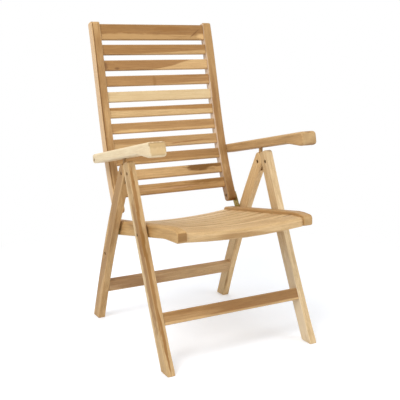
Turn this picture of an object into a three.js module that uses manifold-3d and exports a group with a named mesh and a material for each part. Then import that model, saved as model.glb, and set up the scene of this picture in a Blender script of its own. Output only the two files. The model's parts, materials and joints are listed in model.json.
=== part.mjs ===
// Folding teak armchair with a back that reclines in five steps.
// Millimetres, +Z up. The front faces -Y, and right means +X, as seen by someone facing the chair.
// Side places are a distance back from the front foot (y) and a height above the floor (z).

import * as THREE from 'three';
import { mergeVertices } from 'three/addons/utils/BufferGeometryUtils.js';
import Module from 'manifold-3d';

const wasm = await Module();
wasm.setup();

// Fits shared by the whole chair
const seatGap = 0.3;            // between faces that touch
const cutOverrun = 2;           // how far a cutting tool runs past the face it opens
const woodSoftening = 3.5;      // rounding of the long edges of legs, rails and stiles
const tenonLength = 12;
const tenonShoulder = 4;        // step between a board's face and its tenon

// Layers across the chair, from the middle plane outwards
const sideMemberOuter = 246.9;  // outer face of the stiles and the seat rails
const sideMemberThickness = 34;
const hardwareSpace = 6.6;      // room for the brass between the seat rails and the legs
const legThickness = 26.7;
const sideMemberInner = sideMemberOuter - sideMemberThickness;
const legInner = sideMemberOuter + hardwareSpace;
const legOuter = legInner + legThickness;

// Front legs: a slightly bowed board from the foot up to a round end
const frontLegDepth = 45.4;
const frontLegTopY = 270;
const frontLegTopZ = 600.5;     // centre of the round end
const frontLegBow = 6.6;        // how far the middle lies behind a straight line

// Rear legs: bowed more, hinged near their top
const rearLegDepth = 46.8;
const rearFootY = 586.7;
const rearLegBow = 14.4;
const rearHingeSetback = 42.5;  // behind the centre of the front leg's round end
const rearHingeDrop = 20.5;     // below that centre
const rearLegNoseRadius = 15.5; // the narrow round tip above the hinge
const legFoldGap = 1.6;         // between the front leg and the rear leg's hinge end

// Stretchers, let into the legs with tenons, flush with the front faces
const frontStretcherHeight = 40;
const frontStretcherThickness = 22;
const frontStretcherZ = 148;
const rearStretcherHeight = 47;
const rearStretcherThickness = 22;
const rearStretcherZ = 141;
const stretcherSoftening = 4;

// Knuckle: a tongue that joins both leg tops and carries the arm on its peg
const knuckleThickness = 9;
const knuckleMargin = 14.5;     // wood around each of its two bolts
const knuckleBoltLead = 8;      // in front of the centre of the front leg's round end
const knuckleBoltDrop = 14.5;
const pegTipSetback = 39;
const pegTipRise = 37.5;        // above that centre
const pegWidth = 12;
const pegRootDrop = 30;         // how far below the tip the peg starts to widen
const knuckleSlotDepth = 25;    // open slot in the rear leg, below the hinge

// Seat rails: straight boards with a nose that levels out at the front
const seatNoseY = -34;
const seatNoseTopZ = 449;
const seatNoseBottomZ = 415;
const seatNoseTopRadius = 14;
const seatNoseBottomRadius = 7;
const seatBendTopY = 22;
const seatBendTopZ = 452;
const seatBendBottomY = 60;
const seatBendBottomZ = 410.5;
const seatBendRadius = 150;
const seatRearY = 487;
const seatRearTopZ = 385;
const seatRearBottomZ = 332;
const seatRearRadius = 17;

// Seat boards: a shaped front board and a row of slats, all dished across the chair
const seatSlatCount = 8;
const seatSlatSpacing = 8;      // open space between two slats
const seatSlatThickness = 14;
const seatSlatSoftening = 3.5;
const seatSlatRecess = 11;      // below the top edge of the rails
const firstSeatSlatY = 69;      // middle of the first slat behind the front board
const lastSeatSlatLead = 26;    // middle of the last slat in front of the rails' rear ends
const seatDish = 12;            // how far the middle of a slat hangs below its ends
const frontBoardSetback = 7;    // behind the rails' noses
const frontBoardTopZ = 443;
const frontBoardBottomZ = 413;
const frontBoardFrontRadius = 12;
const frontBoardLipThickness = 24;
const frontBoardRearY = 40;
const frontBoardRearTopZ = 440;
const frontBoardDish = 10;

// Seat pivot on the front legs
const seatPivotZ = 398;
const seatPivotSetback = 4.6;   // behind the middle of the leg at that height
const spacerRadius = 11;

// Back stiles: sawn to a curve, closest to the sitter at the small of the back
const stileDepth = 34.4;
const backPivotY = 466;
const backPivotZ = 432;
const stileEndDrop = 21;        // wood below the back pivot, along the stile
const stileTopY = 663;
const stileTopZ = 1082.5;
const stileLowerBow = 42;       // first handle of the curve, behind the straight line
const stileUpperBow = -1;       // second handle
const stileEndRadius = 13;
const stileTopRadius = 9;

// Back slats, spaced along the stiles from the top down
const topSlatHeight = 59;
const topSlatDrop = 37.5;       // from the top of the stiles to the middle of the top slat
const backSlatCount = 10;
const backSlatSpacing = 20.5;   // open space between two slats
const firstBackSlatDrop = 104;
const lastBackSlatRise = 53.5;  // from the back pivot up to the middle of the lowest slat
const backSlatThickness = 18;
const backSlatSetback = 6;      // behind the front faces of the stiles
const backSlatSoftening = 4;

// Arms: swing on a bolt through the stile and rest on the pegs
const armPivotY = 532;
const armPivotZ = 599;
const armLength = 512;          // from the pivot to the front end
const armRearOverhang = 18;
const armDepth = 32.5;
const armPivotHeight = 12;      // above the underside
const armHandleDepth = 47;
const armHandleLength = 24;
const armScoopLength = 78;      // where the underside drops to the handle
const armRearWidth = 44;
const armFrontWidth = 57.6;
const armSoftening = 7;
const armRearRadius = 11;
const armFrontTopRadius = 13;
const armFrontBottomRadius = 12;
const armScoopRadius = 40;

// Groove and notches under each arm
const grooveDepth = 8;
const grooveSideRoom = 2.2;     // each side of the peg
const notchDepth = 5;
const notchRoom = 0.5;          // each side of the peg
const reclineSteps = 5;
const reclineStepAngle = THREE.MathUtils.degToRad(6);
const grooveEndRoom = 16;

// Brass between the seat rails and the legs
const plateThickness = 2.8;
const linkThickness = 2.8;
const plateWidth = 32;
const linkWidth = 26;
const linkPivotY = 428;
const linkPivotZ = 363;
const linkFootZ = 268;
const linkFootSetback = 2.2;    // behind the middle of the rear leg at that height
const plateScrewDistance = 21;  // from the link pivot towards the back pivot
const plateScrewRadius = 2.4;
const plateScrewHeadRadius = 4.5;
const plateScrewHeadHeight = 2;
const plateScrewLength = 18;

// Bolts
const boltRadius = 4;
const boltHeadRadius = 6.4;
const boltHeadHeight = 3.2;
const boltHeadRecess = 1.2;     // below the wood's face
const boltHeadRoom = 0.5;
const boltDome = 1;
const armBoltEnd = 22;          // wood left behind the end of the arm bolt
const hingeRivetHeadRadius = 6.5;

// Fineness of the faceted surfaces
const curveSteps = 9;
const stileSteps = 12;
const lineDivisions = 400;
const finestShareStep = 0.000001;
const softeningSteps = 2;
const weldDistance = 0.0001;
const roundStep = Math.PI / 8;
const shortestFacet = 2.6;
const roundSides = 12;
const dishSteps = 6;

// Finishes
const paleTeak = { color: 0xd9b27c, roughness: 0.62, metalness: 0 };
const goldenTeak = { color: 0xcb9c63, roughness: 0.62, metalness: 0 };
const agedBrass = { color: 0x9a7f3c, roughness: 0.42, metalness: 0.9 };
const darkBrass = { color: 0x5e4a2c, roughness: 0.5, metalness: 0.85 };

const vec = (y, z) => new THREE.Vector2(y, z);
const corner = (y, z, radius = 0) => ({ at: vec(y, z), radius });
const along = (from, to) => to.clone().sub(from).normalize();
const leftOf = (direction) => vec(-direction.y, direction.x);
const offset = (from, direction, distance) => from.clone().addScaledVector(direction, distance);
const turned = (point, centre, angle) => point.clone().rotateAround(centre, angle);
const crossing = (a, alongA, b, alongB) => {
  const gap = b.clone().sub(a);
  return offset(a, alongA, gap.cross(alongB) / alongA.cross(alongB));
};

// A solid for cutting and joining, and back again
function solidOf(geometry) {
  const plain = geometry.clone();
  plain.deleteAttribute('normal');
  plain.deleteAttribute('uv');
  const merged = mergeVertices(plain, weldDistance);
  return new wasm.Manifold(new wasm.Mesh({
    numProp: 3,
    vertProperties: new Float32Array(merged.attributes.position.array),
    triVerts: new Uint32Array(merged.index.array),
  }));
}

function geometryOf(solid) {
  const mesh = solid.getMesh();
  const geometry = new THREE.BufferGeometry();
  geometry.setAttribute('position', new THREE.BufferAttribute(new Float32Array(mesh.vertProperties), 3));
  geometry.setIndex(new THREE.BufferAttribute(new Uint32Array(mesh.triVerts), 1));
  return geometry;
}

// Rounds the marked corners of an outline with arcs
function roundedOutline(corners) {
  const points = [];
  corners.forEach(({ at, radius }, index) => {
    const before = corners[(index + corners.length - 1) % corners.length].at;
    const after = corners[(index + 1) % corners.length].at;
    const back = along(at, before);
    const ahead = along(at, after);
    const halfAngle = Math.acos(THREE.MathUtils.clamp(back.dot(ahead), -1, 1)) / 2;
    const room = Math.min(at.distanceTo(before), at.distanceTo(after)) / 2;
    const reach = Math.min(radius / Math.tan(halfAngle), room);
    if (reach <= 0) {
      points.push(at.clone());
      return;
    }
    const fitted = reach * Math.tan(halfAngle);
    const centre = offset(at, back.clone().add(ahead).normalize(), fitted / Math.sin(halfAngle));
    const start = offset(at, back, reach);
    const sweep = Math.PI - 2 * halfAngle;
    const stepsByAngle = Math.round(sweep / roundStep);
    const stepsByLength = Math.round((sweep * fitted) / shortestFacet);
    const steps = Math.max(1, Math.min(stepsByAngle, stepsByLength));
    const turn = Math.sign(ahead.cross(back)) * sweep;
    for (let step = 0; step <= steps; step += 1) {
      points.push(turned(start, centre, (turn * step) / steps));
    }
  });
  return points;
}

// A board sawn to a side outline, with softened long edges
function sawnBoard(points, innerX, outerX, softening) {
  const width = outerX - innerX;
  const geometry = new THREE.ExtrudeGeometry(new THREE.Shape(points), {
    depth: width - 2 * softening,
    bevelEnabled: softening > 0,
    bevelThickness: softening,
    bevelSize: softening,
    bevelOffset: -softening,
    bevelSegments: softeningSteps,
  });
  geometry.translate(0, 0, innerX + softening);
  return geometry.applyMatrix4(new THREE.Matrix4().makeBasis(
    new THREE.Vector3(0, 1, 0),
    new THREE.Vector3(0, 0, 1),
    new THREE.Vector3(1, 0, 0),
  ));
}

const cutter = (points, innerX, outerX) => solidOf(sawnBoard(points, innerX, outerX, 0));

// Both faces of a board that follows a centre line, as points from the first end to the last
function boardFaces(centreLine, depth, steps) {
  const front = [];
  const rear = [];
  for (let step = 0; step <= steps; step += 1) {
    const share = step / steps;
    const centre = centreLine.getPoint(share);
    const side = leftOf(centreLine.getTangent(share));
    front.push(offset(centre, side, depth / 2));
    rear.push(offset(centre, side, -depth / 2));
  }
  return { front, rear };
}

// A bowed centre line: the middle lies behind the straight line by the bow
function bowedLine(bottom, top, bow) {
  const middle = bottom.clone().add(top).multiplyScalar(0.5);
  const handle = offset(middle, leftOf(along(bottom, top)), -2 * bow);
  return new THREE.QuadraticBezierCurve(bottom, handle, top);
}

// A place on a rising line at a height, with the line's direction there
function placeAt(line, height) {
  let share = 0;
  for (let step = 1; step >= finestShareStep; step /= 2) {
    if (share + step <= 1 && line.getPoint(share + step).y < height) {
      share += step;
    }
  }
  return { at: line.getPoint(share), ahead: line.getTangent(share) };
}

// Trims a face that starts below the floor, or extends it down to the floor
function toFloor(face) {
  const above = face.filter((point) => point.y > 0);
  const first = face.indexOf(above[0]);
  const from = Math.max(first - 1, 0);
  const floorPoint = crossing(face[from], along(face[from], face[from + 1]), vec(0, 0), vec(1, 0));
  return [floorPoint, ...above];
}

function roundBar(centre, radius, innerX, outerX, sides = roundSides) {
  const points = [];
  for (let side = 0; side < sides; side += 1) {
    points.push(turned(offset(centre, vec(1, 0), radius), centre, (2 * Math.PI * side) / sides));
  }
  return cutter(points, innerX, outerX);
}

// A flat strip with round ends between two places
function stripOutline(from, to, width) {
  const ahead = along(from, to);
  const side = leftOf(ahead);
  const reach = width / 2;
  const start = offset(from, ahead, -reach);
  const end = offset(to, ahead, reach);
  return roundedOutline([
    { at: offset(start, side, -reach), radius: reach },
    { at: offset(end, side, -reach), radius: reach },
    { at: offset(end, side, reach), radius: reach },
    { at: offset(start, side, reach), radius: reach },
  ]);
}

// A rectangle turned to a direction, as an outline
function turnedRectangle(centre, ahead, length, width, radius) {
  const side = leftOf(ahead);
  const signs = [[-1, -1], [1, -1], [1, 1], [-1, 1]];
  return roundedOutline(signs.map(([first, second]) => ({
    at: offset(offset(centre, ahead, (first * length) / 2), side, (second * width) / 2),
    radius,
  })));
}

// A turned piece on an axis across the chair, from a profile of radius and distance outwards
function turnedPiece(centre, profile) {
  const points = profile.map(([radius, x]) => new THREE.Vector2(radius, x));
  const geometry = new THREE.LatheGeometry(points, roundSides);
  geometry.applyMatrix4(new THREE.Matrix4().makeBasis(
    new THREE.Vector3(0, 0, 1),
    new THREE.Vector3(1, 0, 0),
    new THREE.Vector3(0, 1, 0),
  ));
  geometry.translate(0, centre.x, centre.y);
  return geometry;
}

// Lathe and mirror can leave faces pointing inwards, so the winding is turned where it must be
function facingOut(geometry) {
  const plain = geometry.clone();
  plain.deleteAttribute('normal');
  plain.deleteAttribute('uv');
  const merged = mergeVertices(plain, weldDistance);
  const { position } = merged.attributes;
  const { array } = merged.index;
  const [a, b, c] = [new THREE.Vector3(), new THREE.Vector3(), new THREE.Vector3()];
  let volume = 0;
  const kept = [];
  for (let index = 0; index < array.length; index += 3) {
    const face = [array[index], array[index + 1], array[index + 2]];
    if (face[0] !== face[1] && face[1] !== face[2] && face[2] !== face[0]) {
      a.fromBufferAttribute(position, face[0]);
      b.fromBufferAttribute(position, face[1]);
      c.fromBufferAttribute(position, face[2]);
      volume += a.dot(b.cross(c));
      kept.push(face);
    }
  }
  merged.setIndex(kept.flatMap((face) => (volume < 0 ? [...face].reverse() : face)));
  return merged;
}

function mirrored(geometry) {
  return facingOut(geometry.clone().scale(-1, 1, 1));
}

// A bolt from its outer head to its inner nut; each head sits in its own recess
function boltProfile(innerX, outerX, innerHead = boltHeadRadius, outerHead = boltHeadRadius) {
  const nut = innerHead > 0
    ? [[0, innerX - boltDome], [innerHead, innerX + boltDome], [innerHead, innerX + boltHeadHeight],
      [boltRadius, innerX + boltHeadHeight]]
    : [[0, innerX], [boltRadius, innerX]];
  const head = outerHead > 0
    ? [[boltRadius, outerX - boltHeadHeight], [outerHead, outerX - boltHeadHeight],
      [outerHead, outerX - boltDome], [0, outerX + boltDome]]
    : [[boltRadius, outerX], [0, outerX]];
  return [...nut, ...head];
}

const boltHole = (centre, innerX, outerX) => roundBar(centre, boltRadius + seatGap, innerX, outerX);
const headRoom = boltHeadRecess + boltDome + boltHeadHeight + seatGap;
const outerRecess = (centre, faceX) => (
  roundBar(centre, boltHeadRadius + boltHeadRoom, faceX - headRoom, faceX + cutOverrun));
const innerRecess = (centre, faceX) => (
  roundBar(centre, boltHeadRadius + boltHeadRoom, faceX - cutOverrun, faceX + headRoom));
const headAt = (faceX) => faceX - boltHeadRecess - boltDome;
const nutAt = (faceX) => faceX + boltHeadRecess + boltDome;

// Places in the side view
const frontLegTop = vec(frontLegTopY, frontLegTopZ);
const rearHinge = vec(frontLegTopY + rearHingeSetback, frontLegTopZ - rearHingeDrop);
const knuckleBolt = vec(frontLegTopY - knuckleBoltLead, frontLegTopZ - knuckleBoltDrop);
const pegTip = vec(frontLegTopY + pegTipSetback, frontLegTopZ + pegTipRise);
const frontLegLine = bowedLine(vec(0, 0), frontLegTop, frontLegBow);
const rearLegLine = bowedLine(vec(rearFootY, 0), rearHinge, rearLegBow);
const seatPivot = vec(placeAt(frontLegLine, seatPivotZ).at.x + seatPivotSetback, seatPivotZ);
const linkFoot = vec(placeAt(rearLegLine, linkFootZ).at.x + linkFootSetback, linkFootZ);
const backPivot = vec(backPivotY, backPivotZ);
const armPivot = vec(armPivotY, armPivotZ);
const linkPivot = vec(linkPivotY, linkPivotZ);

const legMiddle = (legInner + legOuter) / 2;
const knuckleInner = legMiddle - knuckleThickness / 2;
const knuckleOuter = legMiddle + knuckleThickness / 2;
const plateInner = sideMemberOuter + seatGap;
const plateOuter = plateInner + plateThickness;
const linkInner = plateOuter + seatGap;
const linkOuter = linkInner + linkThickness;

const pieces = [];
function addPiece(name, geometry, finish) {
  pieces.push({ name, geometry, finish });
}
function addPair(name, geometry, finish) {
  addPiece(`${name}_right`, geometry, finish);
  addPiece(`${name}_left`, mirrored(geometry), finish);
}

// A board across the chair with a tenon at each end; its outline is a side-view section
function crossBoard(outline, tenonOutline, shoulderX, steps, dish) {
  const body = new THREE.ExtrudeGeometry(new THREE.Shape(outline), {
    depth: 2 * shoulderX,
    steps,
    bevelEnabled: false,
  });
  body.translate(0, 0, -shoulderX);
  body.applyMatrix4(new THREE.Matrix4().makeBasis(
    new THREE.Vector3(0, 1, 0),
    new THREE.Vector3(0, 0, 1),
    new THREE.Vector3(1, 0, 0),
  ));
  const { position } = body.attributes;
  for (let index = 0; index < position.count; index += 1) {
    const acrossShare = position.getX(index) / shoulderX;
    position.setZ(index, position.getZ(index) - dish * (1 - acrossShare * acrossShare));
  }
  const tenonX = shoulderX + tenonLength;
  const inside = shoulderX - cutOverrun;
  const right = cutter(tenonOutline, inside, tenonX);
  const left = cutter(tenonOutline, -tenonX, -inside);
  return geometryOf(solidOf(body).add(right).add(left));
}

// Mortise for a tenon, sunk outwards from an inner face
function mortise(centre, ahead, length, width, faceX) {
  const outline = turnedRectangle(centre, ahead, length + 2 * seatGap, width + 2 * seatGap, 0);
  return cutter(outline, faceX - cutOverrun, faceX + tenonLength + seatGap);
}

// Knuckle outline, grown by a margin so that the same shape cuts its seat
function knuckleOutline(growth) {
  const reach = knuckleMargin + growth;
  const ahead = along(knuckleBolt, rearHinge);
  const side = leftOf(ahead);
  const pegAhead = along(rearHinge, pegTip);
  const pegSide = leftOf(pegAhead);
  const pegRoot = offset(pegTip, pegAhead, -pegRootDrop);
  const halfPeg = pegWidth / 2 + growth;
  const front = offset(knuckleBolt, ahead, -reach);
  const rear = offset(rearHinge, ahead, reach);
  const tip = offset(pegTip, pegAhead, growth);
  return roundedOutline([
    { at: offset(front, side, -reach), radius: reach },
    { at: offset(rear, side, -reach), radius: reach },
    { at: offset(rear, side, reach - knuckleMargin / 2), radius: knuckleMargin },
    { at: offset(pegRoot, pegSide, -halfPeg), radius: knuckleMargin },
    { at: offset(tip, pegSide, -halfPeg), radius: halfPeg },
    { at: offset(tip, pegSide, halfPeg), radius: halfPeg },
    { at: offset(pegRoot, pegSide, halfPeg), radius: knuckleMargin },
    { at: offset(front, side, reach), radius: reach },
  ]);
}

// Front legs
const frontLegFaces = boardFaces(frontLegLine, frontLegDepth, curveSteps);
const frontLegUp = frontLegLine.getTangent(1);
const frontLegFront = leftOf(frontLegUp);
const frontLegOutline = [
  ...toFloor(frontLegFaces.rear),
  ...roundedOutline([
    { at: offset(frontLegTop, frontLegFront, -frontLegDepth / 2), radius: 0 },
    { at: offset(offset(frontLegTop, frontLegUp, frontLegDepth / 2), frontLegFront, -frontLegDepth / 2),
      radius: frontLegDepth / 2 },
    { at: offset(offset(frontLegTop, frontLegUp, frontLegDepth / 2), frontLegFront, frontLegDepth / 2),
      radius: frontLegDepth / 2 },
    { at: offset(frontLegTop, frontLegFront, frontLegDepth / 2), radius: 0 },
  ]),
  ...toFloor(frontLegFaces.front).reverse(),
];

const frontStretcherSpot = placeAt(frontLegLine, frontStretcherZ);
const frontStretcherSide = leftOf(frontStretcherSpot.ahead);
const frontStretcherCentre = offset(
  frontStretcherSpot.at, frontStretcherSide, (frontLegDepth - frontStretcherThickness) / 2);

// Rear legs
const rearLegFaces = boardFaces(rearLegLine, rearLegDepth, curveSteps);
const rearLegUp = rearLegLine.getTangent(1);
const rearLegFront = leftOf(rearLegUp);
const reliefAway = leftOf(frontLegUp).negate();
const hingeEndRadius = rearHinge.clone().sub(frontLegTop).dot(reliefAway) - frontLegDepth / 2 - legFoldGap;
const hingeReach = Math.min(hingeEndRadius, rearLegDepth / 2);
const reliefStart = offset(rearHinge, reliefAway, -hingeReach);
const frontFaceStart = offset(rearHinge, rearLegFront, rearLegDepth / 2);
const rearFaceEnd = offset(rearHinge, rearLegFront, -rearLegDepth / 2);
const rearLegOutline = roundedOutline([
  ...toFloor(rearLegFaces.rear).slice(0, -1).map((at) => ({ at, radius: 0 })),
  { at: crossing(rearFaceEnd, rearLegUp, reliefStart, frontLegUp), radius: rearLegNoseRadius },
  { at: crossing(reliefStart, frontLegUp, frontFaceStart, rearLegUp), radius: hingeReach },
  ...toFloor(rearLegFaces.front).slice(0, -1).reverse().map((at) => ({ at, radius: 0 })),
]);
const rearStretcherSpot = placeAt(rearLegLine, rearStretcherZ);
const rearStretcherSide = leftOf(rearStretcherSpot.ahead);
const rearStretcherCentre = offset(
  rearStretcherSpot.at, rearStretcherSide, (rearLegDepth - rearStretcherThickness) / 2);

const knuckleSeat = cutter(knuckleOutline(seatGap), knuckleInner - seatGap, knuckleOuter + seatGap);
const slotLength = knuckleSlotDepth + rearLegDepth;
const knuckleSlot = cutter(
  turnedRectangle(
    offset(rearHinge, rearLegUp, slotLength / 2 - knuckleSlotDepth),
    rearLegUp,
    slotLength,
    2 * rearLegDepth,
    0,
  ),
  knuckleInner - seatGap,
  knuckleOuter + seatGap,
);

function throughLeg(centre) {
  return boltHole(centre, legInner - cutOverrun, legOuter + cutOverrun)
    .add(outerRecess(centre, legOuter))
    .add(innerRecess(centre, legInner));
}

const tenonOf = (height) => height - 2 * tenonShoulder;
const frontLeg = solidOf(sawnBoard(frontLegOutline, legInner, legOuter, woodSoftening))
  .subtract(knuckleSeat)
  .subtract(throughLeg(knuckleBolt))
  .subtract(boltHole(seatPivot, legInner - cutOverrun, legOuter + cutOverrun))
  .subtract(outerRecess(seatPivot, legOuter))
  .subtract(mortise(frontStretcherCentre, frontStretcherSpot.ahead, tenonOf(frontStretcherHeight),
    tenonOf(frontStretcherThickness), legInner));
addPair('front_leg', geometryOf(frontLeg), paleTeak);

const rearLeg = solidOf(sawnBoard(rearLegOutline, legInner, legOuter, woodSoftening))
  .subtract(knuckleSlot)
  .subtract(throughLeg(rearHinge))
  .subtract(boltHole(linkFoot, legInner - cutOverrun, legOuter + cutOverrun))
  .subtract(outerRecess(linkFoot, legOuter))
  .subtract(mortise(rearStretcherCentre, rearStretcherSpot.ahead, tenonOf(rearStretcherHeight),
    tenonOf(rearStretcherThickness), legInner));
addPair('rear_leg', geometryOf(rearLeg), goldenTeak);

function stretcher(spot, centre, height, thickness) {
  return crossBoard(
    turnedRectangle(centre, spot.ahead, height, thickness, stretcherSoftening),
    turnedRectangle(centre, spot.ahead, tenonOf(height), tenonOf(thickness), 0),
    legInner - seatGap,
    1,
    0,
  );
}
addPiece('front_stretcher', stretcher(frontStretcherSpot, frontStretcherCentre,
  frontStretcherHeight, frontStretcherThickness), goldenTeak);
addPiece('rear_stretcher', stretcher(rearStretcherSpot, rearStretcherCentre,
  rearStretcherHeight, rearStretcherThickness), goldenTeak);

const knuckle = cutter(knuckleOutline(0), knuckleInner, knuckleOuter)
  .subtract(boltHole(knuckleBolt, knuckleInner - cutOverrun, knuckleOuter + cutOverrun))
  .subtract(boltHole(rearHinge, knuckleInner - cutOverrun, knuckleOuter + cutOverrun));
addPair('arm_peg_knuckle', geometryOf(knuckle), goldenTeak);

const legBolt = (centre) => facingOut(turnedPiece(centre, boltProfile(nutAt(legInner), headAt(legOuter))));
addPair('knuckle_bolt', legBolt(knuckleBolt), darkBrass);
addPair('leg_hinge_bolt', legBolt(rearHinge), darkBrass);
addPair('link_foot_bolt', facingOut(turnedPiece(linkFoot,
  boltProfile(legInner, headAt(legOuter), 0))), darkBrass);

// Seat rails
const railTop = (y) => {
  const share = (y - seatBendTopY) / (seatRearY - seatBendTopY);
  return THREE.MathUtils.lerp(seatBendTopZ, seatRearTopZ, share);
};
const railDirection = along(vec(seatBendTopY, seatBendTopZ), vec(seatRearY, seatRearTopZ));
const railOutline = roundedOutline([
  corner(seatNoseY, seatNoseBottomZ, seatNoseBottomRadius),
  corner(seatBendBottomY, seatBendBottomZ, seatBendRadius),
  corner(seatRearY, seatRearBottomZ, seatRearRadius),
  corner(seatRearY, seatRearTopZ, seatRearRadius),
  corner(seatBendTopY, seatBendTopZ, seatBendRadius),
  corner(seatNoseY, seatNoseTopZ, seatNoseTopRadius),
]);
const seatSlatPitch = (seatRearY - lastSeatSlatLead - firstSeatSlatY) / (seatSlatCount - 1);
const seatSlatWidth = seatSlatPitch - seatSlatSpacing;
const seatSlatTenon = seatSlatWidth - 2 * tenonShoulder;
const seatSlatTenonThickness = seatSlatThickness - tenonShoulder;
const seatSlatCentres = [];
for (let index = 0; index < seatSlatCount; index += 1) {
  const y = firstSeatSlatY + index * seatSlatPitch;
  const top = vec(y, railTop(y) - seatSlatRecess);
  seatSlatCentres.push(offset(top, leftOf(railDirection), -seatSlatThickness / 2));
}
const frontBoardFrontY = seatNoseY + frontBoardSetback;
const frontBoardStepY = frontBoardFrontY + frontBoardLipThickness;
const frontBoardRearBottomZ = frontBoardRearTopZ - seatSlatThickness;
const frontBoardOutline = roundedOutline([
  corner(frontBoardFrontY, frontBoardBottomZ, seatSlatSoftening),
  corner(frontBoardStepY, frontBoardBottomZ, seatSlatSoftening),
  corner(frontBoardStepY, frontBoardRearBottomZ, seatSlatSoftening),
  corner(frontBoardRearY, frontBoardRearBottomZ, seatSlatSoftening),
  corner(frontBoardRearY, frontBoardRearTopZ, seatSlatSoftening),
  corner(frontBoardFrontY, frontBoardTopZ, frontBoardFrontRadius),
]);
const frontBoardTenonLength = frontBoardTopZ - frontBoardBottomZ - 2 * tenonShoulder;
const frontBoardTenonWidth = frontBoardLipThickness - 2 * tenonShoulder;
const frontBoardTenonCentre = vec(
  frontBoardFrontY + frontBoardLipThickness / 2,
  (frontBoardTopZ + frontBoardBottomZ) / 2,
);
const upward = vec(0, 1);

const linkAhead = along(linkPivot, backPivot);
const plateScrew = offset(linkPivot, linkAhead, plateScrewDistance);
let seatRail = solidOf(sawnBoard(railOutline, sideMemberInner, sideMemberOuter, woodSoftening))
  .subtract(boltHole(seatPivot, sideMemberInner - cutOverrun, sideMemberOuter + cutOverrun))
  .subtract(innerRecess(seatPivot, sideMemberInner))
  .subtract(boltHole(linkPivot, sideMemberInner - cutOverrun, sideMemberOuter + cutOverrun))
  .subtract(innerRecess(linkPivot, sideMemberInner))
  .subtract(roundBar(plateScrew, plateScrewRadius + seatGap,
    sideMemberOuter - plateScrewLength - seatGap, sideMemberOuter + cutOverrun))
  .subtract(mortise(frontBoardTenonCentre, upward, frontBoardTenonLength, frontBoardTenonWidth,
    sideMemberInner));
seatSlatCentres.forEach((centre) => {
  seatRail = seatRail.subtract(
    mortise(centre, railDirection, seatSlatTenon, seatSlatTenonThickness, sideMemberInner));
});
addPair('seat_rail', geometryOf(seatRail), paleTeak);

addPiece('front_seat_board', crossBoard(
  frontBoardOutline,
  turnedRectangle(frontBoardTenonCentre, upward, frontBoardTenonLength, frontBoardTenonWidth, 0),
  sideMemberInner - seatGap,
  dishSteps,
  frontBoardDish,
), goldenTeak);
seatSlatCentres.forEach((centre, index) => {
  addPiece(`seat_slat_${index + 1}`, crossBoard(
    turnedRectangle(centre, railDirection, seatSlatWidth, seatSlatThickness, seatSlatSoftening),
    turnedRectangle(centre, railDirection, seatSlatTenon, seatSlatTenonThickness, 0),
    sideMemberInner - seatGap,
    dishSteps,
    seatDish,
  ), index % 2 === 0 ? paleTeak : goldenTeak);
});

// Pivot bolts of the seat, with a brass spacer between rail and leg
addPair('seat_pivot_bolt', facingOut(turnedPiece(seatPivot,
  boltProfile(nutAt(sideMemberInner), headAt(legOuter)))), darkBrass);
const spacerInner = sideMemberOuter + seatGap;
const spacerOuter = legInner - seatGap;
const spacerBore = boltRadius + seatGap;
addPair('seat_pivot_spacer', facingOut(turnedPiece(seatPivot, [
  [spacerBore, spacerInner],
  [spacerRadius, spacerInner],
  [spacerRadius, spacerOuter],
  [spacerBore, spacerOuter],
  [spacerBore, spacerInner],
])), agedBrass);

// Brass plate that carries the back, and the link to the rear leg
const plate = cutter(stripOutline(linkPivot, backPivot, plateWidth), plateInner, plateOuter)
  .subtract(boltHole(linkPivot, plateInner - cutOverrun, plateOuter + cutOverrun))
  .subtract(boltHole(backPivot, plateInner - cutOverrun, plateOuter + cutOverrun))
  .subtract(roundBar(plateScrew, plateScrewRadius + seatGap,
    plateInner - cutOverrun, plateOuter + cutOverrun));
addPair('back_hinge_plate', geometryOf(plate), agedBrass);

const link = cutter(stripOutline(linkPivot, linkFoot, linkWidth), linkInner, linkOuter)
  .subtract(boltHole(linkPivot, linkInner - cutOverrun, linkOuter + cutOverrun))
  .subtract(boltHole(linkFoot, linkInner - cutOverrun, linkOuter + cutOverrun));
addPair('leg_link', geometryOf(link), agedBrass);

addPair('link_pivot_bolt', facingOut(turnedPiece(linkPivot,
  boltProfile(nutAt(sideMemberInner), linkOuter, boltHeadRadius, 0))), darkBrass);
const screwHeadInner = plateOuter + seatGap;
addPair('plate_screw', facingOut(turnedPiece(plateScrew, [
  [0, sideMemberOuter - plateScrewLength],
  [plateScrewRadius, sideMemberOuter - plateScrewLength + plateScrewRadius],
  [plateScrewRadius, screwHeadInner],
  [plateScrewHeadRadius, screwHeadInner],
  [plateScrewHeadRadius - boltDome, screwHeadInner + plateScrewHeadHeight],
  [0, screwHeadInner + plateScrewHeadHeight],
])), darkBrass);

// Back stiles
const stileTop = vec(stileTopY, stileTopZ);
const thirdShare = 1 / 3;
const stileLine = new THREE.CubicBezierCurve(
  backPivot,
  backPivot.clone().lerp(stileTop, thirdShare).add(vec(stileLowerBow, 0)),
  backPivot.clone().lerp(stileTop, 2 * thirdShare).add(vec(stileUpperBow, 0)),
  stileTop,
);
stileLine.arcLengthDivisions = lineDivisions;
const stileLength = stileLine.getLength();
const stileFaces = boardFaces(stileLine, stileDepth, stileSteps);
const stileFoot = offset(backPivot, stileLine.getTangent(0), -stileEndDrop);
const stileFootSide = leftOf(stileLine.getTangent(0));
const stileOutline = roundedOutline([
  { at: offset(stileFoot, stileFootSide, stileDepth / 2), radius: stileEndRadius },
  { at: offset(stileFoot, stileFootSide, -stileDepth / 2), radius: stileEndRadius },
  ...stileFaces.rear.slice(1, -1).map((at) => ({ at, radius: 0 })),
  { at: stileFaces.rear.at(-1), radius: stileTopRadius },
  { at: stileFaces.front.at(-1), radius: stileTopRadius },
  ...stileFaces.front.slice(1, -1).reverse().map((at) => ({ at, radius: 0 })),
]);

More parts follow.
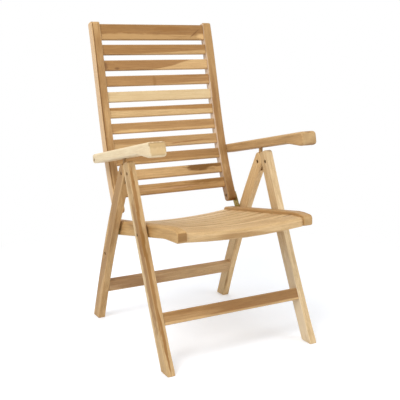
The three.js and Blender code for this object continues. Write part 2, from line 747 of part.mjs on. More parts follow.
const backSlatPitch = (stileLength - firstBackSlatDrop - lastBackSlatRise) / (backSlatCount - 1);
const backSlatHeight = backSlatPitch - backSlatSpacing;
function backSlatSpot(drop) {
  const share = 1 - drop / stileLength;
  const ahead = stileLine.getTangentAt(share);
  const lean = (stileDepth - backSlatThickness) / 2 - backSlatSetback;
  return { at: offset(stileLine.getPointAt(share), leftOf(ahead), lean), ahead };
}
const backSlats = [{ name: 'back_slat_top', height: topSlatHeight, ...backSlatSpot(topSlatDrop) }];
for (let index = 0; index < backSlatCount; index += 1) {
  backSlats.push({
    name: `back_slat_${index + 1}`,
    height: backSlatHeight,
    ...backSlatSpot(firstBackSlatDrop + index * backSlatPitch),
  });
}

let stile = solidOf(sawnBoard(stileOutline, sideMemberInner, sideMemberOuter, woodSoftening))
  .subtract(boltHole(backPivot, sideMemberInner - cutOverrun, sideMemberOuter + cutOverrun))
  .subtract(innerRecess(backPivot, sideMemberInner))
  .subtract(boltHole(armPivot, sideMemberInner + armBoltEnd - seatGap, sideMemberOuter + cutOverrun));
backSlats.forEach((slat) => {
  stile = stile.subtract(
    mortise(slat.at, slat.ahead, tenonOf(slat.height), tenonOf(backSlatThickness), sideMemberInner));
});
addPair('back_stile', geometryOf(stile), paleTeak);
backSlats.forEach((slat, index) => {
  addPiece(slat.name, crossBoard(
    turnedRectangle(slat.at, slat.ahead, slat.height, backSlatThickness, backSlatSoftening),
    turnedRectangle(slat.at, slat.ahead, tenonOf(slat.height), tenonOf(backSlatThickness), 0),
    sideMemberInner - seatGap,
    1,
    0,
  ), index % 2 === 0 ? goldenTeak : paleTeak);
});

// Bolts that the back turns on
addPair('back_pivot_bolt', facingOut(turnedPiece(backPivot, [
  ...boltProfile(nutAt(sideMemberInner), linkInner, boltHeadRadius, 0).slice(0, -1),
  [hingeRivetHeadRadius, linkInner],
  [hingeRivetHeadRadius - boltDome, linkOuter],
  [0, linkOuter],
])), darkBrass);

// Arms: along their own line from the pivot to the front, underside on the peg
const armSpan = armPivot.distanceTo(pegTip);
const roofHeight = grooveDepth - armPivotHeight;
const tipBelowPivot = seatGap - roofHeight;
const armAngle = Math.asin(tipBelowPivot / armSpan);
const armAhead = along(armPivot, pegTip).rotateAround(vec(0, 0), -armAngle);
const armUp = leftOf(armAhead).negate();
const armPlace = (ahead, up) => offset(offset(armPivot, armAhead, ahead), armUp, up);
const armCorner = (ahead, up, radius = 0) => ({ at: armPlace(ahead, up), radius });
const armTopHeight = armDepth - armPivotHeight;
const armHandleBottom = armTopHeight - armHandleDepth;
const armHandleStart = armLength - armHandleLength;
const armScoopStart = armHandleStart - armScoopLength;
const armOutline = roundedOutline([
  armCorner(-armRearOverhang, armTopHeight, armRearRadius),
  armCorner(-armRearOverhang, -armPivotHeight, armRearRadius),
  armCorner(armScoopStart, -armPivotHeight, armScoopRadius),
  armCorner(armHandleStart, armHandleBottom, armScoopRadius),
  armCorner(armLength, armHandleBottom, armFrontBottomRadius),
  armCorner(armLength, armTopHeight, armFrontTopRadius),
]);
const armInner = sideMemberOuter + seatGap;
const armBoard = sawnBoard(armOutline, armInner, armInner + armFrontWidth, armSoftening);
const armTaper = (y, z) => {
  const ahead = vec(y, z).sub(armPivot).dot(armAhead);
  return THREE.MathUtils.mapLinear(ahead, 0, armLength, armRearWidth, armFrontWidth) / armFrontWidth;
};
const armPositions = armBoard.attributes.position;
for (let index = 0; index < armPositions.count; index += 1) {
  const share = armTaper(armPositions.getY(index), armPositions.getZ(index));
  armPositions.setX(index, armInner + (armPositions.getX(index) - armInner) * share);
}
const armBoltFace = armInner + armRearWidth;

const notchPlaces = [];
for (let step = 0; step < reclineSteps; step += 1) {
  const pivotThen = turned(armPivot, backPivot, -step * reclineStepAngle);
  notchPlaces.push(Math.sqrt(pivotThen.distanceTo(pegTip) ** 2 - tipBelowPivot ** 2));
}
const grooveStart = notchPlaces[0] - pegWidth / 2 - grooveEndRoom;
const grooveEnd = notchPlaces.at(-1) + pegWidth / 2 + grooveEndRoom;
const grooveInner = knuckleInner - grooveSideRoom;
const grooveOuter = knuckleOuter + grooveSideRoom;
function grooveCutter(fromAhead, toAhead, height) {
  return cutter(roundedOutline([
    armCorner(fromAhead, -armPivotHeight - cutOverrun),
    armCorner(toAhead, -armPivotHeight - cutOverrun),
    armCorner(toAhead, height),
    armCorner(fromAhead, height),
  ]), grooveInner, grooveOuter);
}
const notchHalf = pegWidth / 2 + notchRoom;
let arm = solidOf(facingOut(armBoard))
  .subtract(grooveCutter(grooveStart, grooveEnd, roofHeight))
  .subtract(boltHole(armPivot, armInner - cutOverrun, armBoltFace + cutOverrun))
  .subtract(outerRecess(armPivot, armBoltFace));
notchPlaces.forEach((place) => {
  arm = arm.subtract(grooveCutter(place - notchHalf, place + notchHalf, roofHeight + notchDepth));
});
addPair('arm', geometryOf(arm), paleTeak);
addPair('arm_pivot_bolt', facingOut(turnedPiece(armPivot,
  boltProfile(sideMemberInner + armBoltEnd, headAt(armBoltFace), 0))), darkBrass);

// The finished chair, centred over its own footprint
const chair = new THREE.Group();
pieces.forEach(({ name, geometry, finish }) => {
  const mesh = new THREE.Mesh(geometry, new THREE.MeshStandardMaterial(finish));
  mesh.name = name;
  chair.add(mesh);
});
const footprint = new THREE.Box3().setFromObject(chair);
chair.position.y = -(footprint.min.y + footprint.max.y) / 2;

export default chair;
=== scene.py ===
"""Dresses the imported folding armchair: eased wooden boards, brass strips and bolts, with their finishes.

Metres, +Z up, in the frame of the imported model. The front of the chair faces -Y and right means +X.
"""
import json
import logging
import math
from collections.abc import Callable
from dataclasses import dataclass, field
from enum import Enum

import bmesh
import bpy
from mathutils import Matrix, Vector


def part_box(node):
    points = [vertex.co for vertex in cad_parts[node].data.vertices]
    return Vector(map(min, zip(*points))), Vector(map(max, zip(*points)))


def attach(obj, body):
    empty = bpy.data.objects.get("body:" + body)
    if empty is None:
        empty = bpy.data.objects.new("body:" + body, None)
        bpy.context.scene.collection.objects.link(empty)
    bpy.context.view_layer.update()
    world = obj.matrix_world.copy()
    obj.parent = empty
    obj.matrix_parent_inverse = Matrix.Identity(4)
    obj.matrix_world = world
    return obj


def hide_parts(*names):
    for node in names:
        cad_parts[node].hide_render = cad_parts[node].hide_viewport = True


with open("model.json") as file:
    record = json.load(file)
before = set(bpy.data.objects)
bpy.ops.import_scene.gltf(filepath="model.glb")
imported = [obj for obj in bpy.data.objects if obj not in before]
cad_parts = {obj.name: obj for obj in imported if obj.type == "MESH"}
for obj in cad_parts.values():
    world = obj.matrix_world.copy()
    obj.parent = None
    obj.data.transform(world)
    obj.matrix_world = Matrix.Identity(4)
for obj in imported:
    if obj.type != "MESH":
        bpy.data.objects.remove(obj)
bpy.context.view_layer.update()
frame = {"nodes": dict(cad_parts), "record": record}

BODY_OF = {node: body for body, nodes in frame["record"]["behaviour"]["bodies"].items() for node in nodes}
Colour = tuple[float, float, float, float]
Triple = tuple[float, float, float]
WHITE: Colour = (1.0, 1.0, 1.0, 1.0)
SIDES = ("right", "left")
ARRIS = "arris"
LAMP_TARGET: Triple = (0.0, 0.0, 0.45)
log = logging.getLogger("armchair")

# How fine each layer of a finish is, in waves per metre: along the grain, across the board and through it
WANDER_SCALE: Triple = (4.5, 26.0, 26.0)
HEART_SCALE: Triple = (1.6, 20.0, 17.0)
RING_SCALE: Triple = (1.1, 95.0, 70.0)
FIBRE_SCALE: Triple = (14.0, 620.0, 620.0)
PORE_SCALE: Triple = (85.0, 1500.0, 1500.0)
CLOUD_SCALE: Triple = (7.0, 40.0, 40.0)
SPOT_EDGE_SCALE: Triple = (30.0, 160.0, 160.0)
BLOTCH_SCALE: Triple = (130.0, 130.0, 130.0)
SCRATCH_SCALE: Triple = (900.0, 60.0, 1400.0)


def paint(red: int, green: int, blue: int) -> Colour:
    """Turns a colour as a paint card gives it into the linear values that a shader takes.

    Args:
        red: Red share, 0 to 255.
        green: Green share, 0 to 255.
        blue: Blue share, 0 to 255.

    Returns:
        The linear colour with full opacity.
    """
    def linear(share: float) -> float:
        """Undoes the display curve for one channel.

        Args:
            share: The channel's value, 0 to 1.

        Returns:
            The linear value.
        """
        return share / 12.92 if share <= 0.04045 else ((share + 0.055) / 1.055) ** 2.4

    return (linear(red / 255), linear(green / 255), linear(blue / 255), 1.0)


class NodeSketch:
    """Adds shader nodes to one tree and joins them with short calls."""

    def __init__(self, tree: bpy.types.NodeTree) -> None:
        """Keeps the tree that the nodes go into.

        Args:
            tree: The node tree of a material or of a group.
        """
        self.tree = tree

    def add(self, kind: str, **settings: object) -> bpy.types.Node:
        """Adds a node and gives it its settings.

        Args:
            kind: The node's type, without its ShaderNode prefix.
            **settings: Properties of the node by name.

        Returns:
            The new node.
        """
        node = self.tree.nodes.new("ShaderNode" + kind)
        for name, value in settings.items():
            setattr(node, name, value)
        return node

    def feed(self, target: bpy.types.NodeSocket, source: object) -> None:
        """Feeds an input with another node's output or with a plain value.

        Args:
            target: The input socket.
            source: An output socket, a number, a vector or a colour.
        """
        if isinstance(source, bpy.types.NodeSocket):
            self.tree.links.new(source, target)
        else:
            target.default_value = source

    def wire(self, node: bpy.types.Node, sources: dict[str | int, object]) -> None:
        """Feeds several inputs of a node.

        Args:
            node: The node.
            sources: What each input takes, by its name or place.
        """
        for key, source in sources.items():
            self.feed(node.inputs[key], source)

    def math(self, operation: str, first: object, second: object = 0.0) -> bpy.types.NodeSocket:
        """Works out one number from two.

        Args:
            operation: The Math node's operation.
            first: The first number or output.
            second: The second number or output.

        Returns:
            The result's output.
        """
        node = self.add("Math", operation=operation)
        self.wire(node, {0: first, 1: second})
        return node.outputs[0]

    def ramp(self, value: object, low: float, high: float) -> bpy.types.NodeSocket:
        """Makes a soft step from 0 at one value to 1 at another.

        Args:
            value: The number or output that steps.
            low: Where the step starts.
            high: Where the step ends.

        Returns:
            The step's output.
        """
        node = self.add("MapRange", interpolation_type="SMOOTHSTEP")
        self.wire(node, {"Value": value, "From Min": low, "From Max": high})
        return node.outputs["Result"]

    def mix(self, share: object, first: object, second: object, blend: str = "MIX") -> bpy.types.NodeSocket:
        """Mixes two colours.

        Args:
            share: How much of the second colour shows, 0 to 1.
            first: The first colour or output.
            second: The second colour or output.
            blend: The way the second is laid over the first.

        Returns:
            The mixed colour's output.
        """
        node = self.add("Mix", data_type="RGBA", blend_type=blend)
        self.wire(node, {0: share, 6: first, 7: second})
        return node.outputs[2]

    def stretched(self, vector: object, scale: Triple,
                  shift: object = (0.0, 0.0, 0.0)) -> bpy.types.NodeSocket:
        """Scales a place along each axis and then shifts it.

        Args:
            vector: The place's output.
            scale: Scale along each axis.
            shift: What is added, as a vector or an output.

        Returns:
            The new place's output.
        """
        scaled = self.add("VectorMath", operation="MULTIPLY")
        self.wire(scaled, {0: vector, 1: scale})
        moved = self.add("VectorMath", operation="ADD")
        self.wire(moved, {0: scaled.outputs[0], 1: shift})
        return moved.outputs[0]

    def bump(self, shader: bpy.types.Node, height: object, strength: float, distance: float) -> None:
        """Gives a shader a fine relief.

        Args:
            shader: The shader's node.
            height: The relief's output.
            strength: How strongly it shows, 0 to 1.
            distance: How high it stands, in metres.
        """
        node = self.add("Bump")
        self.wire(node, {"Strength": strength, "Distance": distance, "Height": height})
        self.feed(shader.inputs["Normal"], node.outputs["Normal"])

    def noise(self, vector: object, detail: float = 2.0, roughness: float = 0.5,
              distortion: float = 0.0) -> bpy.types.NodeSocket:
        """Makes cloudy noise with one cloud per unit of the place it reads.

        Args:
            vector: The place's output.
            detail: How many finer layers are added.
            roughness: How strong the finer layers are.
            distortion: How much the clouds are pulled out of shape.

        Returns:
            The noise's output, about 0 to 1.
        """
        node = self.add("TexNoise")
        self.wire(node, {
            "Vector": vector, "Scale": 1.0, "Detail": detail, "Roughness": roughness,
            "Distortion": distortion,
        })
        return node.outputs["Fac"]


GroupParts = tuple[bpy.types.NodeTree, NodeSketch, bpy.types.Node, bpy.types.Node]


def new_material(name: str) -> tuple[bpy.types.Material, NodeSketch, bpy.types.Node]:
    """Starts a material.

    Args:
        name: The material's name.

    Returns:
        The material, a sketch to draw in it and its shader.
    """
    material = bpy.data.materials.new(name)
    material.use_nodes = True
    return material, NodeSketch(material.node_tree), material.node_tree.nodes["Principled BSDF"]


def new_group(name: str, inputs: dict[str, str], outputs: dict[str, str]) -> GroupParts:
    """Starts a shader node group with named inputs and outputs.

    Args:
        name: The group's name.
        inputs: The kind of each input socket, by name.
        outputs: The kind of each output socket, by name.

    Returns:
        The group, a sketch to draw in it, its input node and its output node.
    """
    tree = bpy.data.node_groups.new(name, "ShaderNodeTree")
    for label, kind in inputs.items():
        tree.interface.new_socket(name=label, in_out="INPUT", socket_type="NodeSocket" + kind)
    for label, kind in outputs.items():
        tree.interface.new_socket(name=label, in_out="OUTPUT", socket_type="NodeSocket" + kind)
    start = tree.nodes.new("NodeGroupInput")
    end = tree.nodes.new("NodeGroupOutput")
    return tree, NodeSketch(tree), start, end


class FinishGroups:
    """The node groups that several finishes share. Each is built once."""

    def __init__(self) -> None:
        """Builds the groups."""
        self.figure = self._figure()
        self.spot = self._spot()
        self.tarnish = self._tarnish()

    @staticmethod
    def _figure() -> bpy.types.NodeTree:
        """Builds the figure of teak from a place laid along the grain.

        Returns:
            A group that puts out rings, heartwood, fibres and pores, each 0 to 1.
        """
        tree, sketch, start, end = new_group(
            "teak_figure",
            {"Place": "Vector", "Seed": "Vector"},
            {"Rings": "Float", "Heart": "Float", "Fibre": "Float", "Pores": "Float", "Clouds": "Float"},
        )
        place, seed = start.outputs["Place"], start.outputs["Seed"]
        wander = sketch.noise(sketch.stretched(place, WANDER_SCALE, seed), 2.0, 0.5)
        heart = sketch.noise(sketch.stretched(place, HEART_SCALE, seed), 1.5, 0.45)
        wave = sketch.math("MULTIPLY", sketch.math("SUBTRACT", wander, 0.5), 0.35)
        ring_place = sketch.stretched(place, RING_SCALE, seed)
        rings = sketch.add("TexWave", wave_type="BANDS", bands_direction="Y", wave_profile="SAW")
        sketch.wire(rings, {
            "Vector": ring_place, "Scale": 0.35, "Distortion": 5.5, "Detail": 2.0, "Detail Scale": 0.55,
        })
        fibre = sketch.noise(sketch.stretched(place, FIBRE_SCALE, seed), 3.0, 0.6)
        pores = sketch.noise(sketch.stretched(place, PORE_SCALE, seed), 1.0, 0.4)
        clouds = sketch.noise(sketch.stretched(place, CLOUD_SCALE, seed), 3.0, 0.55)
        sketch.wire(end, {
            "Rings": rings.outputs["Fac"], "Heart": sketch.math("ADD", heart, wave), "Fibre": fibre,
            "Pores": sketch.ramp(pores, 0.6, 0.72), "Clouds": clouds,
        })
        return tree

    @staticmethod
    def _spot() -> bpy.types.NodeTree:
        """Builds a soft-edged spot at a place, for knots, stains and patches of painted light or shade.

        Returns:
            A group that puts out 1 in the spot and 0 away from it.
        """
        tree, sketch, start, end = new_group(
            "wood_spot",
            {"Place": "Vector", "Centre": "Vector", "Reach": "Vector", "Turn": "Float", "Blur": "Float"},
            {"Spot": "Float"},
        )
        away = sketch.add("VectorRotate", rotation_type="Z_AXIS")
        sketch.wire(away, {
            "Vector": start.outputs["Place"], "Center": start.outputs["Centre"],
            "Angle": start.outputs["Turn"],
        })
        offset = sketch.add("VectorMath", operation="SUBTRACT")
        sketch.wire(offset, {0: away.outputs[0], 1: start.outputs["Centre"]})
        shares = sketch.add("VectorMath", operation="DIVIDE")
        sketch.wire(shares, {0: offset.outputs[0], 1: start.outputs["Reach"]})
        length = sketch.add("VectorMath", operation="LENGTH")
        sketch.feed(length.inputs[0], shares.outputs[0])
        ragged = sketch.noise(sketch.stretched(start.outputs["Place"], SPOT_EDGE_SCALE), 2.0, 0.5)
        edge = sketch.math("ADD", length.outputs["Value"],
                           sketch.math("MULTIPLY", sketch.math("SUBTRACT", ragged, 0.5), 0.9))
        near = sketch.math("SUBTRACT", 1.0, edge)
        soft = sketch.add("MapRange", interpolation_type="SMOOTHSTEP")
        sketch.wire(soft, {"Value": near, "From Max": start.outputs["Blur"]})
        sketch.feed(end.inputs["Spot"], soft.outputs["Result"])
        return tree

    @staticmethod
    def _tarnish() -> bpy.types.NodeTree:
        """Builds the tarnish of handled metal.

        Returns:
            A group that puts out blotches and fine scratches, each 0 to 1.
        """
        tree, sketch, start, end = new_group(
            "metal_tarnish",
            {"Place": "Vector"},
            {"Blotches": "Float", "Scratches": "Float"},
        )
        place = start.outputs["Place"]
        blotches = sketch.noise(sketch.stretched(place, BLOTCH_SCALE), 4.0, 0.6, 0.6)
        scratches = sketch.noise(sketch.stretched(place, SCRATCH_SCALE), 2.0, 0.6)
        sketch.wire(end, {
            "Blotches": sketch.ramp(blotches, 0.35, 0.68), "Scratches": sketch.ramp(scratches, 0.5, 0.75),
        })
        return tree


@dataclass(frozen=True)
class Lay:
    """How a board lies: its middle and the directions of its grain, width and thickness."""

    centre: Vector
    grain: Vector
    wide: Vector
    thick: Vector


@dataclass(frozen=True)
class Spot:
    """A knot, streak, stain or patch of painted light or shade: its middle and reach along, across and
    through the board.

    turn is how far the spot is turned in the board's face.
    """

    along: float
    wide: float
    thick: float = 0.0
    reach: Triple = (0.012, 0.005, 0.02)
    colour: Colour = paint(104, 66, 28)
    strength: float = 0.8
    blur: float = 0.6
    turn: float = 0.0


@dataclass(frozen=True)
class TeakFinish:
    """Oiled teak, from its pale sapwood to its brown heartwood.

    band is how strongly the board is dark above and pale below, band_edge where the dark part starts,
    counted from the board's middle, and heart_from the level of the figure at which heartwood begins.
    grime is how strongly painted shade, the shadow in the gaps between boards, darkens the long edges, from
    grime_from outwards.
    """

    light: Colour
    body: Colour
    heart: Colour
    end: Colour
    heart_from: float = 0.56
    heart_strength: float = 0.75
    ring_strength: float = 0.55
    band: float = 0.0
    band_edge: float = 0.0
    band_tilt: float = 0.0
    band_blur: float = 0.0025
    grime: float = 0.0
    grime_from: float = 0.0
    roughness: float = 0.56
    fibre: Colour = paint(212, 200, 182)
    pore: Colour = paint(96, 64, 34)
    pore_strength: float = 0.3
    # The colour of the painted shade that stands in for the shadow in the gaps between boards.
    grime_colour: Colour = paint(132, 92, 48)
    gloss: float = 0.35
    relief: float = 0.0004
    spots: tuple[Spot, ...] = ()

    def material(self, name: str, groups: FinishGroups, lay: Lay, seed: float) -> bpy.types.Material:
        """Makes the board's material with the figure laid along its grain.

        Args:
            name: The material's name.
            groups: The shared node groups.
            lay: How the board lies.
            seed: Where in the tree the board was sawn from.

        Returns:
            The new material.
        """
        material, sketch, shader = new_material(name)
        coordinate = sketch.add("TexCoord")
        mapping = sketch.add("Mapping", vector_type="TEXTURE")
        sketch.wire(mapping, {"Vector": coordinate.outputs["Object"], "Location": lay.centre})
        mapping.inputs["Rotation"].default_value = (
            Matrix((lay.grain, lay.wide, lay.thick)).transposed().to_euler())
        place = mapping.outputs["Vector"]
        figure = sketch.add("Group", node_tree=groups.figure)
        sketch.wire(figure, {"Place": place, "Seed": (seed * 3.7, seed * 11.3, seed * 7.9)})

        colour = sketch.mix(
            sketch.math("MULTIPLY", figure.outputs["Rings"], self.ring_strength), self.light, self.body)
        colour = sketch.mix(sketch.ramp(figure.outputs["Clouds"], 0.3, 0.75), colour, self.body)
        heart = sketch.ramp(figure.outputs["Heart"], self.heart_from, self.heart_from + 0.09)
        colour = sketch.mix(sketch.math("MULTIPLY", heart, self.heart_strength), colour, self.heart)
        split = sketch.add("SeparateXYZ")
        sketch.feed(split.inputs[0], place)
        # Painted shade: the long edges are darkened to stand in for the shadow that falls into the gaps
        # between boards.
        if self.grime:
            outward = sketch.math("ABSOLUTE", split.outputs["Y"])
            gap_shadow = sketch.ramp(outward, self.grime_from, self.grime_from + 0.003)
            colour = sketch.mix(sketch.math("MULTIPLY", gap_shadow, self.grime), colour, self.grime_colour)
        if self.band:
            wave = sketch.math("MULTIPLY", sketch.math("SUBTRACT", figure.outputs["Heart"], 0.5), 0.014)
            level = sketch.math("ADD", split.outputs["Y"], wave)
            tilted = sketch.math("ADD", level, sketch.math("MULTIPLY", split.outputs["X"], self.band_tilt))
            upper = sketch.ramp(tilted, self.band_edge - self.band_blur, self.band_edge + self.band_blur)
            pale = sketch.math("MULTIPLY", sketch.math("SUBTRACT", 1.0, upper), self.band)
            colour = sketch.mix(pale, colour, self.light)
            colour = sketch.mix(sketch.math("MULTIPLY", upper, self.band), colour, self.heart)
        colour = self._fibres(sketch, figure, colour)
        for spot in self.spots:
            colour = self._spot(sketch, groups, place, spot, colour)
        colour = self._ends_and_arrises(sketch, coordinate, figure, lay, colour)
        sketch.feed(shader.inputs["Base Color"], colour)
        rough = sketch.math("MULTIPLY", sketch.math("SUBTRACT", figure.outputs["Fibre"], 0.5), 0.22)
        sketch.wire(shader, {
            "Roughness": sketch.math("ADD", rough, self.roughness), "Specular IOR Level": self.gloss,
        })
        relief = sketch.math("SUBTRACT", figure.outputs["Fibre"], figure.outputs["Pores"])
        sketch.bump(shader, relief, 0.35, self.relief)
        return material

    def _fibres(self, sketch: NodeSketch, figure: bpy.types.Node, colour: object) -> bpy.types.NodeSocket:
        """Lays fine fibres and short dark pores over a colour.

        Args:
            sketch: The material's sketch.
            figure: The figure group's node.
            colour: The colour so far.

        Returns:
            The colour with fibres and pores.
        """
        fibre = sketch.ramp(figure.outputs["Fibre"], 0.3, 0.7)
        shade = sketch.mix(fibre, self.fibre, WHITE)
        colour = sketch.mix(0.75, colour, shade, "MULTIPLY")
        pores = sketch.math("MULTIPLY", figure.outputs["Pores"], self.pore_strength)
        return sketch.mix(pores, colour, self.pore)

    @staticmethod
    def _spot(sketch: NodeSketch, groups: FinishGroups, place: object, spot: Spot,
              colour: object) -> bpy.types.NodeSocket:
        """Lays one knot, stain or patch of painted light or shade over a colour.

        Args:
            sketch: The material's sketch.
            groups: The shared node groups.
            place: The place along the board.
            spot: The knot or stain.
            colour: The colour so far.

        Returns:
            The colour with the spot.
        """
        node = sketch.add("Group", node_tree=groups.spot)
        sketch.wire(node, {
            "Place": place, "Centre": (spot.along, spot.wide, spot.thick), "Reach": spot.reach,
            "Turn": -spot.turn, "Blur": spot.blur,
        })
        share = sketch.math("MULTIPLY", node.outputs["Spot"], spot.strength)
        return sketch.mix(share, colour, spot.colour)

    def _ends_and_arrises(self, sketch: NodeSketch, coordinate: bpy.types.Node, figure: bpy.types.Node,
                          lay: Lay, colour: object) -> bpy.types.NodeSocket:
        """Darkens the end grain and lightens the worn arrises.

        Args:
            sketch: The material's sketch.
            coordinate: The texture coordinate node.
            figure: The figure group's node.
            lay: How the board lies.
            colour: The colour so far.

        Returns:
            The colour with its end grain and arrises.
        """
        facing = sketch.add("VectorMath", operation="DOT_PRODUCT")
        sketch.wire(facing, {0: coordinate.outputs["Normal"], 1: lay.grain})
        end = sketch.ramp(sketch.math("ABSOLUTE", facing.outputs["Value"]), 0.72, 0.9)
        end_colour = sketch.mix(figure.outputs["Clouds"], self.end, self.heart)
        colour = sketch.mix(sketch.math("MULTIPLY", end, 0.8), colour, end_colour)
        worn = sketch.add("Attribute", attribute_name=ARRIS)
        patches = sketch.ramp(figure.outputs["Clouds"], 0.3, 0.6)
        patchy = sketch.math("MULTIPLY", worn.outputs["Fac"], patches)
        return sketch.mix(sketch.math("MULTIPLY", patchy, 0.3), colour, self.light)


@dataclass(frozen=True)
class MetalFinish:
    """Bare metal that has dulled outdoors."""

    bright: Colour
    dull: Colour
    roughness: float = 0.42
    metallic: float = 0.9
    relief: float = 0.0001

    def material(self, name: str, groups: FinishGroups) -> bpy.types.Material:
        """Makes the metal's material.

        Args:
            name: The material's name.
            groups: The shared node groups.

        Returns:
            The new material.
        """
        material, sketch, shader = new_material(name)
        coordinate = sketch.add("TexCoord")
        tarnish = sketch.add("Group", node_tree=groups.tarnish)
        sketch.feed(tarnish.inputs["Place"], coordinate.outputs["Object"])
        colour = sketch.mix(tarnish.outputs["Blotches"], self.bright, self.dull)
        worn = sketch.add("Attribute", attribute_name=ARRIS)
        colour = sketch.mix(sketch.math("MULTIPLY", worn.outputs["Fac"], 0.5), colour, self.bright)
        sketch.feed(shader.inputs["Base Color"], colour)
        rough = sketch.math("MULTIPLY", tarnish.outputs["Blotches"], 0.18)
        scratched = sketch.math("ADD", rough, sketch.math("MULTIPLY", tarnish.outputs["Scratches"], 0.08))
        sketch.wire(shader, {
            "Roughness": sketch.math("ADD", scratched, self.roughness), "Metallic": self.metallic,
        })
        sketch.bump(shader, tarnish.outputs["Scratches"], 0.2, self.relief)
        return material


class Teak(Enum):
    """The kinds of teak board in the chair, by their colour."""

    CREAM = TeakFinish(paint(240, 221, 180), paint(230, 207, 163), paint(206, 172, 118),
                       paint(214, 180, 130), heart_from=0.68, heart_strength=0.35, ring_strength=0.35,
                       fibre=paint(236, 228, 214), pore_strength=0.12)
    PALE = TeakFinish(paint(226, 194, 146), paint(204, 168, 116), paint(160, 118, 66), paint(178, 140, 88))
    HONEY = TeakFinish(paint(218, 182, 130), paint(196, 156, 102), paint(150, 106, 52), paint(160, 122, 70))
    GOLDEN = TeakFinish(paint(204, 164, 110), paint(180, 138, 82), paint(136, 92, 40), paint(146, 108, 58),
                        heart_from=0.52)
    TAN = TeakFinish(paint(216, 182, 136), paint(196, 158, 112), paint(160, 120, 76), paint(164, 128, 82))


class Metal(Enum):
    """The metals of the folding hardware."""

    BRASS = MetalFinish(paint(176, 154, 84), paint(128, 106, 52))
    BOLT = MetalFinish(paint(122, 94, 60), paint(74, 54, 34), roughness=0.46)


def varied(kind: Teak, **changes: object) -> TeakFinish:
    """Takes a kind of teak and changes some of its values for one board.

    Args:
        kind: The kind of teak.
        **changes: New values by field name.

    Returns:
        The board's own finish.
    """
    values = {name: getattr(kind.value, name) for name in TeakFinish.__dataclass_fields__}
    return TeakFinish(**{**values, **changes})


def show(shape: bmesh.types.BMesh, node: str) -> bpy.types.Object:
    """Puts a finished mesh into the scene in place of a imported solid.

    Args:
        shape: The mesh, which is freed.
        node: The solid's node.

    Returns:
        The new piece, which stands for the node and rides on its body.
    """
    mesh = bpy.data.meshes.new(node + "_shown")
    shape.to_mesh(mesh)
    shape.free()
    piece = bpy.data.objects.new(node + "_shown", mesh)
    bpy.context.scene.collection.objects.link(piece)
    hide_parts(node)
    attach(piece, BODY_OF[node])
    return piece


@dataclass
class Easing:
    """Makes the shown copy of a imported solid, with its sharp arrises eased and its curves shaded smooth.

    foot_reach is how far the edges that stand on the floor are rounded.
    """

    reach: float = 0.0009
    foot_reach: float = 0.0
    foot_segments: int = 4
    floor_level: float = 0.0005
    segments: int = 2
    weld: float = 0.00002
    flat_angle: float = math.radians(0.6)
    sharp_angle: float = math.radians(50)
    strip_width: float = 0.0045

    def copy_of(self, node: str) -> bpy.types.Object:
        """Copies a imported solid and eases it.

        Args:
            node: The solid's node.

        Returns:
            The new piece, which stands for the node and rides on its body.
        """
        shape = bmesh.new()
        shape.from_mesh(frame["nodes"][node].data)
        bmesh.ops.remove_doubles(shape, verts=shape.verts, dist=self.weld)
        bmesh.ops.dissolve_limit(shape, angle_limit=self.flat_angle, verts=shape.verts, edges=shape.edges)
        if self.foot_reach:
            soles = [edge for edge in shape.edges if all(end.co.z < self.floor_level for end in edge.verts)]
            self._round(shape, soles, self.foot_reach, self.foot_segments)
        sharp = [edge for edge in shape.edges
                 if edge.is_manifold and edge.calc_face_angle() > self.sharp_angle]
        self._round(shape, sharp, self.reach, self.segments)
        self._shade(shape)
        piece = show(shape, node)
        normals = piece.modifiers.new("normals", "WEIGHTED_NORMAL")
        normals.keep_sharp = True
        normals.weight = 60
        return piece

    @staticmethod
    def _round(shape: bmesh.types.BMesh, edges: list[bmesh.types.BMEdge], reach: float,
               segments: int) -> None:
        """Rounds some edges.

        Args:
            shape: The piece's mesh.
            edges: The edges.
            reach: How far the rounding reaches from each edge.
            segments: How many strips it has.
        """
        bmesh.ops.bevel(shape, geom=edges, offset=reach, offset_type="OFFSET", segments=segments,
                        profile=0.5, affect="EDGES", clamp_overlap=True, material=-1)

    def _shade(self, shape: bmesh.types.BMesh) -> None:
        """Shades the faces smooth, keeps hard corners and marks the narrow strips of the arrises.

        Args:
            shape: The piece's mesh.
        """
        arris = shape.faces.layers.float.new(ARRIS)
        for face in shape.faces:
            face.smooth = True
            longest = max(edge.calc_length() for edge in face.edges)
            face[arris] = 1.0 if face.calc_area() / longest < self.strip_width else 0.0
        for edge in shape.edges:
            edge.smooth = not edge.is_manifold or edge.calc_face_angle() < self.sharp_angle


def spread_in_side_view(node: str) -> tuple[Vector, Vector]:
    """Finds the middle of a solid's surface and the direction that it is longest in, seen from the side.

    Args:
        node: The solid's node.

    Returns:
        The middle and the long direction in the plane of Y and Z.
    """
    mesh = frame["nodes"][node].data
    mesh.calc_loop_triangles()
    area = along_y = along_z = shared = 0.0
    centre = Vector()
    for triangle in mesh.loop_triangles:
        corners = [mesh.vertices[index].co for index in triangle.vertices]
        total = corners[0] + corners[1] + corners[2]
        area += triangle.area
        centre += total * (triangle.area / 3)
        for corner in (*corners, total):
            along_y += corner.y * corner.y * triangle.area / 12
            along_z += corner.z * corner.z * triangle.area / 12
            shared += corner.y * corner.z * triangle.area / 12
    centre /= area
    along_y = along_y / area - centre.y ** 2
    along_z = along_z / area - centre.z ** 2
    shared = shared / area - centre.y * centre.z
    angle = math.atan2(2 * shared, along_y - along_z) / 2
    return centre, Vector((0.0, math.cos(angle), math.sin(angle)))


def side_lay(node: str) -> Lay:
    """Works out how a board of the chair's sides lies, with its grain along its length.

    Args:
        node: The board's node.

    Returns:
        How it lies.
    """
    centre, grain = spread_in_side_view(node)
    across = Vector((1.0, 0.0, 0.0))
    return Lay(centre, grain, across.cross(grain), across)


def cross_lay(node: str) -> Lay:
    """Works out how a board across the chair lies, with its grain along X.

    Args:
        node: The board's node.

    Returns:
        How it lies.
    """
    centre, wide = spread_in_side_view(node)
    grain = Vector((1.0, 0.0, 0.0))
    upward = wide if wide.z >= 0 else -wide
    return Lay(centre, grain, upward, grain.cross(upward))


